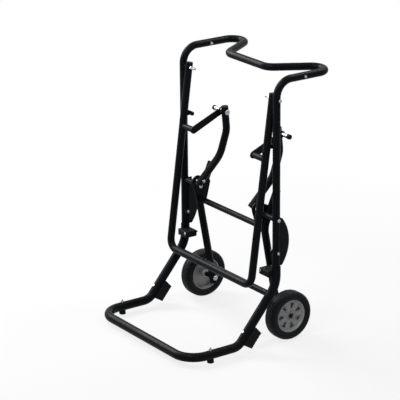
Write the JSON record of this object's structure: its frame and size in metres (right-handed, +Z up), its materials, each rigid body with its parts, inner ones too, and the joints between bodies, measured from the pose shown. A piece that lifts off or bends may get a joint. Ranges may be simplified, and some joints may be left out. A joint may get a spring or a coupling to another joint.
{
  "type": "folding wheeled table saw stand",
  "caption": "Folding wheeled stand of bent steel tube for a bench-top table saw, standing upright for moving, with swinging wheel legs, a hinged saw frame and lift links.",
  "frame": {"origin": "on the floor, under the middle of the stand's bounding box", "axes": "+X from the left side to the right side, +Y from the foot bar towards the handle bar and the wheels, +Z up"},
  "size_m": [0.6914, 0.7396, 1.1514],
  "materials": {
    "black_paint": "satin",
    "zinc_steel": "satin",
    "black_rubber": "matte",
    "tire_rubber": "matte",
    "wheel_plastic": "satin",
    "black_plastic": "matte"
  },
  "bodies": {
    "outer_frame": {"side_tube_left": "black_paint", "side_tube_right": "black_paint", "lower_tube_left": "black_paint", "lower_tube_right": "black_paint", "handle_bar": "black_paint", "foot_bar": "black_paint", "rear_brace": "black_paint", "skid_left": "black_rubber", "skid_right": "black_rubber", "ground_block_left": "black_rubber", "ground_block_right": "black_rubber", "ground_block_bolts": "zinc_steel", "rest_plates": "black_paint", "rest_block_left": "black_plastic", "rest_block_right": "black_plastic", "rest_bolts": "zinc_steel", "front_foot_left": "black_rubber", "front_foot_right": "black_rubber", "foot_bolts": "zinc_steel", "handle_bolts": "zinc_steel", "skid_bolts": "zinc_steel", "saw_pivot_bolts": "zinc_steel", "saw_pivot_washers": "zinc_steel", "leg_pivot_bolts": "zinc_steel", "leg_pivot_spacers": "black_paint"},
    "wheel_legs": {"wheel_leg_left": "black_paint", "wheel_leg_right": "black_paint", "wheel_leg_caps": "black_plastic", "knee_plate_left": "black_paint", "knee_plate_right": "black_paint", "leg_brace": "black_paint", "axles": "zinc_steel", "axle_spacers": "black_plastic", "axle_caps": "black_plastic"},
    "saw_frame": {"saw_tube": "black_paint", "saw_tube_caps": "black_plastic", "lift_bracket_left": "black_paint", "lift_bracket_right": "black_paint", "lift_pins": "zinc_steel", "lift_pin_caps": "black_plastic", "lock_guide_left": "black_paint", "lock_guide_right": "black_paint"},
    "lift_link_left": {"lift_link_left": "black_paint", "link_caps_left": "black_plastic", "crank_pin_left": "zinc_steel"},
    "lock_pin_left": {"lock_pin_left": "zinc_steel", "lock_knob_left": "black_plastic"},
    "wheel_left": {"rim_left": "wheel_plastic", "tire_left": "tire_rubber"},
    "lift_link_right": {"lift_link_right": "black_paint", "link_caps_right": "black_plastic", "crank_pin_right": "zinc_steel"},
    "lock_pin_right": {"lock_pin_right": "zinc_steel", "lock_knob_right": "black_plastic"},
    "wheel_right": {"rim_right": "wheel_plastic", "tire_right": "tire_rubber"}
  },
  "joints": [
    {"name": "leg_fold", "type": "hinge", "parent": "outer_frame", "child": "wheel_legs", "pos_m": [0, 0.091, 0.5475], "axis": [1, 0, 0], "range_deg": [0, 112.6]},
    {"name": "saw_frame_swing", "type": "hinge", "parent": "outer_frame", "child": "saw_frame", "pos_m": [0, 0.089, 1.0555], "axis": [-1, 0, 0], "range_deg": [0, 32.8]},
    {"name": "lift_link_swing_left", "type": "hinge", "parent": "saw_frame", "child": "lift_link_left", "pos_m": [-0.184, 0.202, 0.8645], "axis": [1, 0, 0], "range_deg": [0, 53]},
    {"name": "lift_link_swing_right", "type": "hinge", "parent": "saw_frame", "child": "lift_link_right", "pos_m": [0.184, 0.202, 0.8645], "axis": [1, 0, 0], "range_deg": [0, 53]},
    {"name": "wheel_spin_left", "type": "hinge", "parent": "wheel_legs", "child": "wheel_left", "pos_m": [-0.302, 0.174, 0.105], "axis": [1, 0, 0], "continuous": true},
    {"name": "wheel_spin_right", "type": "hinge", "parent": "wheel_legs", "child": "wheel_right", "pos_m": [0.302, 0.174, 0.105], "axis": [1, 0, 0], "continuous": true},
    {"name": "lock_pin_slide_left", "type": "slide", "parent": "saw_frame", "child": "lock_pin_left", "axis": [-1, 0, 0], "range_m": [0, 0.006]},
    {"name": "lock_pin_slide_right", "type": "slide", "parent": "saw_frame", "child": "lock_pin_right", "axis": [1, 0, 0], "range_m": [0, 0.006]}
  ],
  "couplings": [
    {"joint": "saw_frame_swing", "follows": "leg_fold", "ratio": 0.29044},
    {"joint": "lift_link_swing_left", "follows": "leg_fold", "ratio": 0.46954},
    {"joint": "lift_link_swing_right", "follows": "leg_fold", "ratio": 0.46954}
  ]
}
